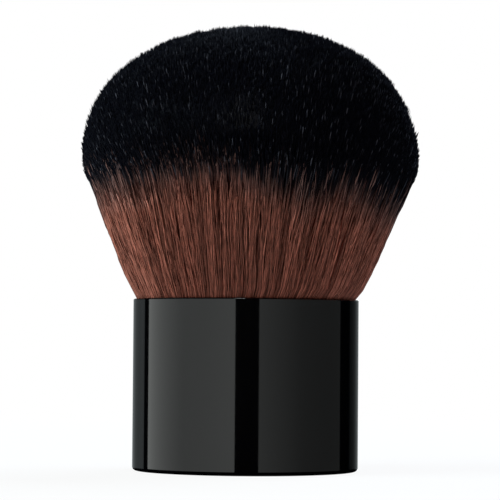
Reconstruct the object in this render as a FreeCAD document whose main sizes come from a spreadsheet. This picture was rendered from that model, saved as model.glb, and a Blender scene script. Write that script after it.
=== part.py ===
import FreeCAD, Part
import math
import os
import Sketcher

# Kabuki make-up brush: a short metal barrel that stands on its foot and holds a domed bundle of fibres.
# Millimetres, +Z up, origin on the table under the middle of the foot.

# Driving sizes. Names that end in share are fractions of the size that they follow.
SIZES = {
    # Drawn metal barrel, both handle and ferrule
    "barrel_diameter": 35.0,
    "barrel_height": 26.5,
    "barrel_wall": 0.5,
    "foot_round": 0.6,
    "rim_round": 0.2,
    "lip_width": 2.5,
    # Radial and end play of every glued or pushed-in piece
    "fit_clearance": 0.05,
    # Plastic disc that closes the foot
    "disc_thickness": 1.5,
    "foot_recess": 0.2,
    # Steel ballast
    "weight_thickness": 6.0,
    "weight_chamfer": 0.6,
    # Moulded liner between the barrel and the cup
    "liner_wall": 1.85,
    "pocket_wall": 3.4,
    "partition_thickness": 1.2,
    "rib_height": 0.45,
    "rib_width": 1.2,
    "rib_count": 12,
    # Metal cup that holds the knot of fibres
    "cup_wall": 0.4,
    "cup_depth": 6.1,
    "resin_depth_share": 0.3,
    "binding_thickness": 0.7,
    "binding_round": 0.25,
    "binding_start_share": 0.1,
    "binding_end_share": 0.5,
    # Fibre bundle
    "fibre_clearance": 0.1,
    "head_diameter": 52.4,
    "widest_above_rim": 22.3,
    "dome_height": 20.2,
    "belly_round": 8.4,
    "shoulder_round_share": 0.891,
    # Where the bundle bends, and where its tips are dyed
    "stub_height": 4.5,
    "dye_above_rim": 18.7,
    "tip_depth": 6.0,
    "flex_gap": 0.3,
}

# Radii and heights worked out from the driving sizes, each from the ones above it.
LEVELS = {
    # Barrel
    "barrel_radius": "Sizes.barrel_diameter / 2",
    "bore_radius": "barrel_radius - Sizes.barrel_wall",
    "lip_radius": "bore_radius - Sizes.lip_width",
    "foot_flat_radius": "barrel_radius - Sizes.foot_round",
    "rim_outer_radius": "barrel_radius - Sizes.rim_round",
    "rim_inner_radius": "bore_radius + Sizes.rim_round",
    "rim_start": "Sizes.barrel_height - Sizes.rim_round",
    # Base disc, seated on the lip
    "disc_radius": "bore_radius - Sizes.fit_clearance",
    "boss_radius": "lip_radius - Sizes.fit_clearance",
    "disc_top": "Sizes.barrel_wall + Sizes.disc_thickness",
    # Liner, standing on the disc
    "liner_radius": "disc_radius - Sizes.rib_height",
    "pocket_radius": "liner_radius - Sizes.pocket_wall",
    "weight_radius": "pocket_radius - Sizes.fit_clearance",
    "pocket_top": "disc_top + Sizes.weight_thickness + Sizes.fit_clearance",
    "partition_top": "pocket_top + Sizes.partition_thickness",
    "seat_radius": "liner_radius - Sizes.liner_wall",
    "rib_root_radius": "liner_radius - Sizes.liner_wall / 2",
    # Cup, standing on the partition with its flange on the liner
    "cup_radius": "seat_radius - Sizes.fit_clearance",
    "cup_bore_radius": "cup_radius - Sizes.cup_wall",
    "cup_floor": "partition_top + Sizes.cup_wall",
    "cup_top": "Sizes.barrel_height - Sizes.cup_depth",
    "flange_underside": "cup_top - Sizes.cup_wall",
    "liner_height": "flange_underside - disc_top",
    # Resin, knot and binding inside the cup
    "resin_radius": "cup_bore_radius - Sizes.fit_clearance",
    "resin_top": "cup_floor + (cup_top - cup_floor) * Sizes.resin_depth_share",
    "waist_radius": "resin_radius - Sizes.binding_thickness",
    "binding_bore_radius": "waist_radius + Sizes.fit_clearance",
    "binding_start": "resin_top + (cup_top - resin_top) * Sizes.binding_start_share",
    "binding_end": "resin_top + (cup_top - resin_top) * Sizes.binding_end_share",
    "binding_flat_radius": "resin_radius - Sizes.binding_round",
    "binding_lower_round": "binding_start + Sizes.binding_round",
    "binding_upper_round": "binding_end - Sizes.binding_round",
    # Outline of the free fibres: a straight flank, the round of the belly, the shoulder and the crown
    "mouth_radius": "bore_radius - Sizes.fibre_clearance",
    "head_radius": "Sizes.head_diameter / 2",
    "widest_height": "Sizes.barrel_height + Sizes.widest_above_rim",
    "apex_height": "widest_height + Sizes.dome_height",
    "belly_centre_radius": "head_radius - Sizes.belly_round",
    "flank_run": "belly_centre_radius - mouth_radius",
    "flank_reach": "sqrt(flank_run ^ 2 + Sizes.widest_above_rim ^ 2)",
    "flank_angle": "atan2(flank_run; Sizes.widest_above_rim) + asin(Sizes.belly_round / flank_reach)",
    "flank_end_radius": "belly_centre_radius + Sizes.belly_round * cos(flank_angle)",
    "flank_end_height": "widest_height - Sizes.belly_round * sin(flank_angle)",
    "shoulder_round": "Sizes.dome_height * Sizes.shoulder_round_share",
    "shoulder_centre_radius": "head_radius - shoulder_round",
    "crown_excess": "shoulder_centre_radius ^ 2 + Sizes.dome_height ^ 2 - shoulder_round ^ 2",
    "crown_round": "crown_excess / (2 * (Sizes.dome_height - shoulder_round))",
    "crown_centre_height": "apex_height - crown_round",
    "crown_stretch": "crown_round / (crown_round - shoulder_round)",
    "crown_edge_radius": "shoulder_centre_radius * crown_stretch",
    "crown_edge_height": "crown_centre_height + (widest_height - crown_centre_height) * crown_stretch",
    # Ball about the cup's lip, on which the free fibres lean
    "stub_radius": "mouth_radius + Sizes.stub_height * tan(flank_angle)",
    "stub_rise": "Sizes.barrel_height + Sizes.stub_height - cup_top",
    "lean_ball_radius": "sqrt(stub_radius ^ 2 + stub_rise ^ 2)",
    "belly_ball_radius": "lean_ball_radius + Sizes.flex_gap",
    # Ball under the dyed tips: it meets the flank at the dye line and lies a tip's depth under the apex
    "dye_radius": "mouth_radius + Sizes.dye_above_rim * tan(flank_angle)",
    "dye_height": "Sizes.barrel_height + Sizes.dye_above_rim",
    "tip_floor": "apex_height - Sizes.tip_depth",
    "sway_excess": "tip_floor ^ 2 - dye_radius ^ 2 - dye_height ^ 2",
    "sway_height": "sway_excess / (2 * (tip_floor - dye_height))",
    "sway_ball_radius": "tip_floor - sway_height",
    "crown_ball_radius": "sway_ball_radius + Sizes.flex_gap",
}

FULL_TURN = 360.0
X_AXIS_ID = -1
Y_AXIS_ID = -2
START = 1
END = 2
CENTRE = 3
ORIGIN_POINT = (X_AXIS_ID, START)

doc = FreeCAD.newDocument("kabuki_brush")


def make_sheet(name, cells):
    """Spreadsheet with one named cell per row: the name in column A, the value or formula in B."""
    sheet = doc.addObject("Spreadsheet::Sheet", name)
    for row, (alias, content) in enumerate(cells.items(), start=1):
        sheet.set(f"A{row}", alias)
        sheet.set(f"B{row}", content)
        sheet.setAlias(f"B{row}", alias)
    doc.recompute()
    return sheet


sizes = make_sheet("Sizes", {name: str(value) for name, value in SIZES.items()})
levels = make_sheet("Levels", {name: "=" + formula for name, formula in LEVELS.items()})


def expression(name):
    """Expression that binds a property to a named cell of either sheet."""
    sheet_name = "Sizes" if name in SIZES else "Levels"
    return f"{sheet_name}.{name}"


def number(name):
    """Present value of a named cell; None stands for zero, a point on an axis."""
    if name is None:
        return 0.0
    sheet = sizes if name in SIZES else levels
    return float(sheet.get(name))


def make_body(label):
    body = doc.addObject("PartDesign::Body", label)
    body.Label = label
    return body


def make_sketch(body, name, role):
    """Sketch on one of the body's own origin planes."""
    plane = next(item for item in body.Origin.OriginFeatures if item.Role == role)
    sketch = body.newObject("Sketcher::SketchObject", name)
    sketch.AttachmentSupport = [(plane, "")]
    sketch.MapMode = "FlatFace"
    return sketch


def bind(sketch, constraint, name):
    """Add a dimension to the sketch and tie it to a named cell."""
    index = sketch.addConstraint(constraint)
    sketch.setExpression(f"Constraints[{index}]", expression(name))


def fix_point(sketch, edge, end, radius_name, height_name):
    """Hold one end of an edge at a named radius and height; None puts it on the axis."""
    point = (edge, end)
    if radius_name is None:
        sketch.addConstraint(Sketcher.Constraint("PointOnObject", *point, Y_AXIS_ID))
    else:
        across = Sketcher.Constraint("DistanceX", *ORIGIN_POINT, *point, number(radius_name))
        bind(sketch, across, radius_name)
    if height_name is None:
        sketch.addConstraint(Sketcher.Constraint("PointOnObject", *point, X_AXIS_ID))
    else:
        upward = Sketcher.Constraint("DistanceY", *ORIGIN_POINT, *point, number(height_name))
        bind(sketch, upward, height_name)


def add_arc(sketch, centre, start, end):
    """Arc that turns anticlockwise from start to end about a centre."""
    circle = Part.Circle(centre, FreeCAD.Vector(0, 0, 1), start.distanceToPoint(centre))
    start_angle = math.atan2(start.y - centre.y, start.x - centre.x)
    end_angle = math.atan2(end.y - centre.y, end.x - centre.x)
    return sketch.addGeometry(Part.ArcOfCircle(circle, start_angle, end_angle), False)


def turned_body(label, corners, rounds=None):
    """Solid of revolution about Z.

    corners are (radius, height) names, anticlockwise round the outline. rounds gives, for the
    corner where an arc starts, the names of the arc's radius and of its centre's radius and height.
    """
    rounds = rounds or {}
    body = make_body(label)
    sketch = make_sketch(body, label + "_outline", "XZ_Plane")
    points = [FreeCAD.Vector(number(radius), number(height), 0) for radius, height in corners]
    edges = []
    for index, start in enumerate(points):
        end = points[(index + 1) % len(points)]
        if index in rounds:
            centre_names = rounds[index][1:]
            centre = FreeCAD.Vector(number(centre_names[0]), number(centre_names[1]), 0)
            edges.append(add_arc(sketch, centre, start, end))
        else:
            edges.append(sketch.addGeometry(Part.LineSegment(start, end), False))
    for index, edge in enumerate(edges):
        following = edges[(index + 1) % len(edges)]
        sketch.addConstraint(Sketcher.Constraint("Coincident", edge, END, following, START))
        fix_point(sketch, edge, START, *corners[index])
    for index, (radius_name, _, _) in rounds.items():
        round_size = Sketcher.Constraint("Radius", edges[index], number(radius_name))
        bind(sketch, round_size, radius_name)
    turn = body.newObject("PartDesign::Revolution", label + "_turn")
    turn.Profile = sketch
    turn.ReferenceAxis = (sketch, ["V_Axis"])
    turn.Angle = FULL_TURN
    body.Tip = turn
    doc.recompute()
    return body


def make_barrel_shell():
    corners = [
        ("lip_radius", None),
        ("foot_flat_radius", None),
        ("barrel_radius", "foot_round"),
        ("barrel_radius", "rim_start"),
        ("rim_outer_radius", "barrel_height"),
        ("rim_inner_radius", "barrel_height"),
        ("bore_radius", "rim_start"),
        ("bore_radius", "barrel_wall"),
        ("lip_radius", "barrel_wall"),
    ]
    rounds = {
        1: ("foot_round", "foot_flat_radius", "foot_round"),
        3: ("rim_round", "rim_outer_radius", "rim_start"),
        5: ("rim_round", "rim_inner_radius", "rim_start"),
    }
    return turned_body("barrel_shell", corners, rounds)


def make_base_disc():
    corners = [
        (None, "foot_recess"),
        ("boss_radius", "foot_recess"),
        ("boss_radius", "barrel_wall"),
        ("disc_radius", "barrel_wall"),
        ("disc_radius", "disc_top"),
        (None, "disc_top"),
    ]
    return turned_body("base_disc", corners)


def make_weight_slug():
    """Steel disc with both edges broken, lying on the base disc."""
    body = make_body("weight_slug")
    sketch = make_sketch(body, "weight_outline", "XY_Plane")
    sketch.setExpression("AttachmentOffset.Base.z", expression("disc_top"))
    circle = Part.Circle(FreeCAD.Vector(), FreeCAD.Vector(0, 0, 1), number("weight_radius"))
    edge = sketch.addGeometry(circle, False)
    sketch.addConstraint(Sketcher.Constraint("Coincident", edge, CENTRE, *ORIGIN_POINT))
    bind(sketch, Sketcher.Constraint("Radius", edge, number("weight_radius")), "weight_radius")
    pad = body.newObject("PartDesign::Pad", "weight_pad")
    pad.Profile = sketch
    pad.setExpression("Length", expression("weight_thickness"))
    doc.recompute()
    rims = [
        f"Edge{index}"
        for index, rim in enumerate(pad.Shape.Edges, start=1)
        if isinstance(rim.Curve, Part.Circle)
    ]
    chamfer = body.newObject("PartDesign::Chamfer", "weight_edges")
    chamfer.Base = (pad, rims)
    chamfer.setExpression("Size", expression("weight_chamfer"))
    body.Tip = chamfer
    doc.recompute()
    return body


def make_inner_liner():
    """Sleeve with a partition: the weight's pocket below it, the cup's seat above it, ribs outside."""
    corners = [
        ("pocket_radius", "disc_top"),
        ("liner_radius", "disc_top"),
        ("liner_radius", "flange_underside"),
        ("seat_radius", "flange_underside"),
        ("seat_radius", "partition_top"),
        (None, "partition_top"),
        (None, "pocket_top"),
        ("pocket_radius", "pocket_top"),
    ]
    body = turned_body("inner_liner", corners)
    sketch = make_sketch(body, "rib_outline", "XY_Plane")
    sketch.setExpression("AttachmentOffset.Base.z", expression("disc_top"))
    inner = number("rib_root_radius")
    outer = number("disc_radius")
    half_width = number("rib_width") / 2
    points = [
        FreeCAD.Vector(inner, -half_width, 0),
        FreeCAD.Vector(outer, -half_width, 0),
        FreeCAD.Vector(outer, half_width, 0),
        FreeCAD.Vector(inner, half_width, 0),
    ]
    edges = [
        sketch.addGeometry(Part.LineSegment(start, end), False)
        for start, end in zip(points, points[1:] + points[:1])
    ]
    bottom, side, top, root = edges
    for edge, following in zip(edges, edges[1:] + edges[:1]):
        sketch.addConstraint(Sketcher.Constraint("Coincident", edge, END, following, START))
    for edge in (bottom, top):
        sketch.addConstraint(Sketcher.Constraint("Horizontal", edge))
    sketch.addConstraint(Sketcher.Constraint("Vertical", root))
    sketch.addConstraint(Sketcher.Constraint("Symmetric", side, START, side, END, X_AXIS_ID))
    bind(sketch, Sketcher.Constraint("DistanceY", side, START, side, END, 2 * half_width), "rib_width")
    reach = Sketcher.Constraint("DistanceX", *ORIGIN_POINT, side, START, outer)
    bind(sketch, reach, "disc_radius")
    start = Sketcher.Constraint("DistanceX", *ORIGIN_POINT, bottom, START, inner)
    bind(sketch, start, "rib_root_radius")
    rib = body.newObject("PartDesign::Pad", "crush_rib")
    rib.Profile = sketch
    rib.setExpression("Length", expression("liner_height"))
    doc.recompute()
    pattern = body.newObject("PartDesign::PolarPattern", "crush_ribs")
    pattern.Originals = [rib]
    pattern.Axis = (sketch, ["N_Axis"])
    pattern.Angle = FULL_TURN
    pattern.setExpression("Occurrences", expression("rib_count"))
    body.Tip = pattern
    doc.recompute()
    return body


def make_knot_cup():
    """Thin cup that stands on the partition, with a flange turned out over the liner."""
    corners = [
        (None, "partition_top"),
        ("cup_radius", "partition_top"),
        ("cup_radius", "flange_underside"),
        ("liner_radius", "flange_underside"),
        ("liner_radius", "cup_top"),
        ("cup_bore_radius", "cup_top"),
        ("cup_bore_radius", "cup_floor"),
        (None, "cup_floor"),
    ]
    return turned_body("knot_cup", corners)


def make_resin_plug():
    corners = [
        (None, "cup_floor"),
        ("resin_radius", "cup_floor"),
        ("resin_radius", "resin_top"),
        (None, "resin_top"),
    ]
    return turned_body("resin_plug", corners)


def make_root_binding():
    """Band of thread in the waist of the knot, rounded outside."""
    corners = [
        ("binding_bore_radius", "binding_start"),
        ("binding_flat_radius", "binding_start"),
        ("resin_radius", "binding_lower_round"),
        ("resin_radius", "binding_upper_round"),
        ("binding_flat_radius", "binding_end"),
        ("binding_bore_radius", "binding_end"),
    ]
    rounds = {
        1: ("binding_round", "binding_flat_radius", "binding_lower_round"),
        3: ("binding_round", "binding_flat_radius", "binding_upper_round"),
    }
    return turned_body("root_binding", corners, rounds)


def make_root_knot():
    """Held length of the fibres: straight in the cup, waisted by the thread, flaring to the mouth."""
    corners = [
        (None, "resin_top"),
        ("resin_radius", "resin_top"),
        ("resin_radius", "binding_start"),
        ("waist_radius", "binding_start"),
        ("waist_radius", "binding_end"),
        ("resin_radius", "binding_end"),
        ("resin_radius", "cup_top"),
        ("mouth_radius", "barrel_height"),
        (None, "barrel_height"),
    ]
    return turned_body("root_knot", corners)


def make_free_head():
    """Whole outline of the fibres above the barrel's mouth."""
    corners = [
        (None, "barrel_height"),
        ("mouth_radius", "barrel_height"),
        ("flank_end_radius", "flank_end_height"),
        ("head_radius", "widest_height"),
        ("crown_edge_radius", "crown_edge_height"),
        (None, "apex_height"),
    ]
    rounds = {
        2: ("belly_round", "belly_centre_radius", "widest_height"),
        3: ("shoulder_round", "shoulder_centre_radius", "widest_height"),
        4: ("crown_round", None, "crown_centre_height"),
    }
    return turned_body("free_head", corners, rounds)


def make_ball(name, radius_name, height_name):
    ball = doc.addObject("Part::Sphere", name)
    ball.setExpression("Radius", expression(radius_name))
    ball.setExpression("Placement.Base.z", expression(height_name))
    return ball


def combine(kind, label, base, tool):
    """Boolean of two solids, as an object that follows both."""
    result = doc.addObject(kind, label)
    result.Label = label
    result.Base = base
    result.Tool = tool
    result.Refine = True
    return result


def make_bristles():
    """Split the bundle into held roots, leaning belly and dyed crown by balls about their pivots."""
    root_knot = make_root_knot()
    free_head = make_free_head()
    lean_ball = make_ball("lean_ball", "lean_ball_radius", "cup_top")
    belly_ball = make_ball("belly_ball", "belly_ball_radius", "cup_top")
    sway_ball = make_ball("sway_ball", "sway_ball_radius", "sway_height")
    crown_ball = make_ball("crown_ball", "crown_ball_radius", "sway_height")
    lower_head = doc.addObject("Part::Cylinder", "lower_head")
    lower_head.setExpression("Radius", expression("head_radius"))
    lower_head.setExpression("Height", expression("sway_height"))
    root_stub = combine("Part::Common", "root_stub", free_head, lean_ball)
    roots = combine("Part::Fuse", "bristle_roots", root_knot, root_stub)
    belly_reach = combine("Part::Fuse", "belly_reach", sway_ball, lower_head)
    under_tips = combine("Part::Common", "under_tips", free_head, belly_reach)
    belly = combine("Part::Cut", "bristle_belly", under_tips, belly_ball)
    crown_seat = combine("Part::Fuse", "crown_seat", crown_ball, lower_head)
    crown = combine("Part::Cut", "bristle_crown", free_head, crown_seat)
    doc.recompute()
    return [roots, belly, crown]


def check_document(subparts):
    """Stop before anything is written if an object failed or a piece isn't one sound solid."""
    for item in doc.Objects:
        faults = [state for state in item.State if state in ("Invalid", "Error")]
        if faults:
            raise RuntimeError(f"{item.Label}: {faults}")
    for piece in subparts:
        shape = piece.Shape
        if shape.isNull() or not shape.isValid() or len(shape.Solids) != 1:
            raise RuntimeError(f"{piece.Label}: not one valid solid")


subparts = [
    make_barrel_shell(),
    make_base_disc(),
    make_weight_slug(),
    make_inner_liner(),
    make_knot_cup(),
    make_resin_plug(),
    make_root_binding(),
    *make_bristles(),
]
doc.recompute()
check_document(subparts)

os.makedirs("parts", exist_ok=True)
for piece in subparts:
    piece.Shape.exportStep(f"parts/{piece.Label}.step")
    print(f"{piece.Label}: {piece.Shape.Volume:.1f} mm3")
print(f"lean pivot {number('cup_top'):.4f} mm, sway pivot {number('sway_height'):.4f} mm")
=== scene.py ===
"""Blender scene of a kabuki make-up brush: fibres over the CAD model, finishes and a white studio."""

import math
from types import SimpleNamespace

import bpy
import numpy as np
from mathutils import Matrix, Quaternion, Vector


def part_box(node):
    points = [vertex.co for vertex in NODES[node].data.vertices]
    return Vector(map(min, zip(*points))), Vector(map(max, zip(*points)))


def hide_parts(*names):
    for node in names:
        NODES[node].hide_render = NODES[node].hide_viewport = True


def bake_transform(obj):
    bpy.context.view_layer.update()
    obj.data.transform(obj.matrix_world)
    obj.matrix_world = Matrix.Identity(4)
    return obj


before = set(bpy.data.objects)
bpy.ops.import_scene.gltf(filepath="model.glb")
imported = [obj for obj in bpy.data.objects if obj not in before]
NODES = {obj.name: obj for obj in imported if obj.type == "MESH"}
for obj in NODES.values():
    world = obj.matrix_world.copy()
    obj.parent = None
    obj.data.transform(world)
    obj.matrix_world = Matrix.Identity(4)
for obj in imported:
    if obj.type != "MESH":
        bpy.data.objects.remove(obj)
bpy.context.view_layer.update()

MM = 0.001
TURN = 2 * math.pi
SEED = 41

# Small steps that keep a direction from having no length
NUDGE = 1e-9
AXIS_NUDGE = np.array((1e-6, 0, 0))

# Sizes that the CAD nodes give
HEAD_NODES = ("bristle_roots", "bristle_belly", "bristle_crown")
RIM_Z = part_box("barrel_shell")[1].z
BARREL_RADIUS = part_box("barrel_shell")[1].x
CUP_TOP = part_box("knot_cup")[1].z

# Every fibre is a tube whose girth varies from one to the next
GIRTH_LOW = 0.75
GIRTH_SPAN = 0.5

# Flank fibres: how many, and the layer under the outline that they fill
FLANK_COUNT = 10400
FLANK_RADIUS = 0.070 * MM
FLANK_DEPTH = 0.10
DEPTH_POWER = 0.8
EDGE_INSET = 0.06 * MM
EDGE_FUZZ = 0.16 * MM
FUZZ_SHARE = 0.5
MOUTH_BULGE = 0.5 * MM
BULGE_RISE = 2.5 * MM
BULGE_END = 17 * MM

# A share of the flank fibres lies on top: thicker, paler as painted highlight, and nearer to the outline
TOP_SHARE = 0.18
TOP_DEPTH = 0.15
TOP_GIRTH = 1.1
TOP_HIGHLIGHT_RANK = 0.60
TOP_HIGHLIGHT_RANK_SPAN = 0.39

# Where a flank fibre has its rings: about the rim, along the brown length and in the dyed tail
HELD_STEPS = (-6.0 * MM, 0.0, 1.5 * MM)
FREE_START = 4 * MM
FREE_RINGS = 6
LOWER_RINGS = len(HELD_STEPS) + FREE_RINGS
TAIL_SHARES = (0.4, 0.85, 1.0)
TAIL_GIRTHS = (0.95, 0.8, 0.1)
SPLIT_LOW = 40.2 * MM
SPLIT_HIGH = 42.8 * MM

# Clumps that the flank fibres lean towards; nearly every second clump lies deep, as a dark gap whose fibres
# are also coloured darkest as painted shade
CLUMPS = 580
CLUMP_JITTER = 0.9
CLUMP_PULL = 0.60
DEEP_PULL = 0.30
PULL_PACE = 1.4
CLUMP_SINK = 0.10 * MM
GAP_SHARE = 0.95
GAP_SINK = 0.56 * MM
SINK_SPREAD = 0.5

# How flank fibres stray: drift in radians, and waves with their cycles over the free length
CLUMP_DRIFT = 0.024
OWN_DRIFT = 0.026
STRAY_SHARE = 0.16
STRAY_DRIFT = 0.06
WAVE = 0.15 * MM
WAVE_CYCLES = 1.3
FINE_WAVE = 0.07 * MM
FINE_CYCLES = 3.1
BOB = 0.18 * MM
BOB_CYCLES = 2.2
WAVE_GROWTH = 2.5

# A fibre's rank is its place between the deepest tone, 0, and the palest, 1: partly the fibre's own random
# tone, partly painted light, darker with depth and in the gaps as painted shade and pale on top as painted
# highlight
GAP_SHADE_RANK = 0.02
OUTER_RANK = 0.80
DEPTH_SHADE_RANK_LOSS = 0.44
RANK_SPREAD = 0.16
LEAST_RANK = 0.02
MOST_RANK = 0.90

# Dome fibres: how many, their rings as shares of the length below the tip, and how the tips scatter
DOME_COUNT = 46000
DOME_RADIUS = 0.088 * MM
DOME_LENGTH = 7.0 * MM
DOME_STEPS = (1.0, 0.5, 0.07, 0.0)
DOME_GIRTHS = (1, 1, 0.85, 0.1)
PLACE_JITTER = 0.35 * MM
JITTER_LEAST_RADIUS = 1 * MM
TIP_JITTER = 0.10 * MM
TIP_SPREAD = 0.24 * MM
SPREAD_POWER = 1.5
TUFT_HEIGHT = 0.12 * MM
TUFT_WAVES = 12
TUFT_WIDTHS_MM = (1.2, 3.0)

# Towards the shoulder tips lie in and dome fibres get shorter, by shares of the flank's angle
SHOULDER_START = 0.88
SHOULDER_BAND = 0.12
SHOULDER_LENGTH = 2.5 * MM
SHOULDER_TUCK = 0.35 * MM
SHOULDER_CALM = 0.6
SHOULDER_INSET = 0.3 * MM
INSET_START = 0.55
INSET_BAND = 0.45

# The core that closes the bundle below the outer fibres, coloured at the deepest ranks as painted shade
CORE_SHARE = 0.93
CORE_BELOW_TIPS = 0.9 * MM
CORE_SPLIT = 42.0 * MM
CORE_SIDES = 128
CORE_FLANK_ROWS = 9
CORE_DOME_ROWS = 40
CORE_SHADE_RANKS = (0.02, 0.06)
ROOT_RADIUS = 13.3 * MM
ROOT_GAP = 0.05 * MM

# Dents and rises of the trimmed dome: place in mm, width and height in mm
HEAD_CENTRE = np.array((0.0, 0.0, 42.0)) * MM
DOME_BUMPS = (
    ((-18.8, 0.0, 62.8), 3.2, -0.50),
    ((-12.5, 0.0, 66.3), 4.5, 0.26),
    ((-7.9, 0.0, 68.1), 2.5, -0.20),
    ((13.0, 0.0, 64.5), 9.0, 0.36),
    ((-21.0, 0.0, 36.0), 8.0, 0.17),
)
# How far the head stands to one side, by height
LEAN_Z = np.array((26.5, 28.0, 45.0, 54.0, 69.0)) * MM
LEAN_X = np.array((0.0, 0.25, 0.65, 0.35, 0.35)) * MM

# The map that carries a fibre's rank across and its height up
UV_NAME = "OFBake"
COLUMNS = 512
# A tube begins a quarter into its column, and small rises keep a flat cap's corners apart
COLUMN_START = 0.25
COLUMN_PARTS = 6
CORNER_RISES = np.array((0, 1e-4, 2e-4, 3e-4))
MAP_LOW = 10 * MM
MAP_HIGH = 72 * MM
MAP_SPAN = MAP_HIGH - MAP_LOW

# The dye line, and where it stands higher or lower: azimuth and half width in degrees, height in mm
DYE_Z = 43.2 * MM
DYE_BUMPS = (
    (-15.0, 20.0, 3.3),
    (-44.0, 13.0, 0.9),
    (22.0, 6.0, -1.2),
    (38.0, 16.0, 0.8),
    (-70.0, 9.0, 0.6),
    (-90.0, 12.0, -1.5),
    (65.0, 22.0, -1.5),
    (90.0, 14.0, -1.6),
    (150.0, 22.0, 1.6),
    (-118.0, 20.0, 1.2),
)
DYE_TILT = 0.035
DYE_LEAD = 1.4 * MM
DYE_SPREAD = 2.4 * MM
DYE_ROW = (DYE_Z - DYE_LEAD - MAP_LOW) / MAP_SPAN
FADE_BELOW = 2.6 * MM
FADE_ABOVE = 2.5 * MM
FADE_BROWN_END = 0.6
FADE_BLACK_START = 0.4
LATE_DYE = 5.5 * MM
LATE_POWER = 6.0
DOME_DYE_LIFT = 2.0 * MM

# Fibre colours and gloss. The deep brown is partly a fibre tone and partly painted shade, the pale brown
# partly a fibre tone and partly painted highlight
DEEP_TONE_AND_SHADE_BROWN = (0.050, 0.0050, 0.0022, 1)
PALE_TONE_AND_HIGHLIGHT_BROWN = (0.252, 0.090, 0.062, 1)
DARK_FADE = (0.046, 0.016, 0.014, 1)
# The pale fade is partly the dye's grey-brown fade and partly painted sheen on pale strands
PALE_FADE_AND_SHEEN = (0.142, 0.091, 0.082, 1)
FADED_BROWN = (0.024, 0.014, 0.014, 1)
DYED_BLACK = (0.0009, 0.0011, 0.0034, 1)
# Painted glints: the highest-ranked black tips are paler, as tips catching the light
PAINTED_TIP_GLINT = (0.060, 0.062, 0.078, 1)
PALE_FADE_AND_SHEEN_POWER = 3.0
PAINTED_TIP_GLINT_POWER = 32.0
FIBRE_ROUGHNESS = 0.4
FIBRE_SPECULAR = 0.06

# Tones of the brown: each strand's own, streaks along it, calm at the rim and grey towards the dye, where
# the grey is partly the dye's fade and, on pale strands, partly painted sheen
TONES = (0.5, 1.5)
STREAK_ACROSS = 3.7
STREAK_ALONG = 42.0
CALM_HEIGHT = 10 * MM
CALM_SHARE = 0.6
CALM_RANK = 0.6
GREY_BELOW = 5 * MM
GREY_ABOVE = 2 * MM
GREY_SHARE = 0.9

# The part of a noise texture's range that its values mostly fill
NOISE_SPAN = (0.3, 0.7)

# Finishes of the CAD nodes: dark and light colour, roughness, and the scale of rings or turns
LACQUER = ((0.0004, 0.0004, 0.0006, 1), (0.0008, 0.0008, 0.0011, 1))
LACQUER_ROUGHNESS = (0.045, 0.075)
BASE_PLASTIC = ((0.022, 0.022, 0.024, 1), (0.036, 0.036, 0.038, 1), 0.5)
LINER_PLASTIC = ((0.70, 0.69, 0.64, 1), (0.78, 0.77, 0.73, 1), 0.45)
WEIGHT_STEEL = ((0.47, 0.47, 0.48, 1), (0.60, 0.60, 0.61, 1), 0.38, 300.0)
CUP_ALUMINIUM = ((0.74, 0.74, 0.76, 1), (0.84, 0.84, 0.86, 1), 0.32, 420.0)
RESIN = ((0.56, 0.34, 0.10, 1), (0.78, 0.56, 0.25, 1))
RESIN_ROUGHNESS = (0.12, 0.24)
THREAD = ((0.50, 0.48, 0.42, 1), (0.86, 0.84, 0.78, 1))
THREAD_TURNS = 700.0
PLASTIC_ROUGHNESS_SPREAD = 0.06
METAL_ROUGHNESS_SPREAD = 0.08
COATING_IOR = 1.5

# Camera
CAMERA_AT = (0.55 * MM, -380 * MM, 19.4 * MM)
CAMERA_TO = (0.55 * MM, 0.0, 34.25 * MM)
CAMERA_ROLL = math.radians(0.42)
LENS = 175.8
SENSOR = 36.0
CLIP_NEAR = 0.01
CLIP_FAR = 10


def smooth(t):
    """Smoothstep of t, held between 0 and 1."""
    t = np.clip(t, 0, 1)
    return t * t * (3 - 2 * t)


def unit(v):
    """Vectors of length 1 along the last axis."""
    return v / np.linalg.norm(v, axis=-1, keepdims=True)


# Node helpers

# A Mix node's sockets for colours: the factor and the two colours, and the result
MIX_INPUTS = (0, 6, 7)
MIX_OUTPUT = 2


def set_input(tree, socket, value):
    """A socket set from a value, or linked from another socket."""
    if isinstance(value, bpy.types.NodeSocket):
        tree.links.new(value, socket)
    else:
        socket.default_value = value


def add_node(tree, kind, **inputs):
    """A node with its inputs set. Names use _ for a space."""
    node = tree.nodes.new(kind)
    for name, value in inputs.items():
        set_input(tree, node.inputs[name.replace("_", " ")], value)
    return node


def maths(tree, operation, *values, clamp=False):
    """The result of a Math node."""
    node = tree.nodes.new("ShaderNodeMath")
    node.operation = operation
    node.use_clamp = clamp
    for socket, value in zip(node.inputs, values):
        set_input(tree, socket, value)
    return node.outputs[0]


def remap(tree, value, old_low, old_high, new_low, new_high, kind="LINEAR"):
    """value moved from one range to another."""
    node = add_node(
        tree,
        "ShaderNodeMapRange",
        Value=value,
        From_Min=old_low,
        From_Max=old_high,
        To_Min=new_low,
        To_Max=new_high,
    )
    node.interpolation_type = kind
    return node.outputs["Result"]


def mix_colours(tree, factor, first, second):
    """A mix of two colours."""
    node = tree.nodes.new("ShaderNodeMix")
    node.data_type = "RGBA"
    for index, value in zip(MIX_INPUTS, (factor, first, second)):
        set_input(tree, node.inputs[index], value)
    return node.outputs[MIX_OUTPUT]


def new_material(name):
    """A material with a fresh Principled shader: the material, its tree and the shader."""
    material = bpy.data.materials.new(name)
    material.use_nodes = True
    tree = material.node_tree
    return material, tree, tree.nodes["Principled BSDF"]


def new_bare_material(name):
    """A material with only its output: the material, its tree and the output's surface socket."""
    material, tree, shader = new_material(name)
    tree.nodes.remove(shader)
    return material, tree, tree.nodes["Material Output"].inputs["Surface"]


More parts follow.
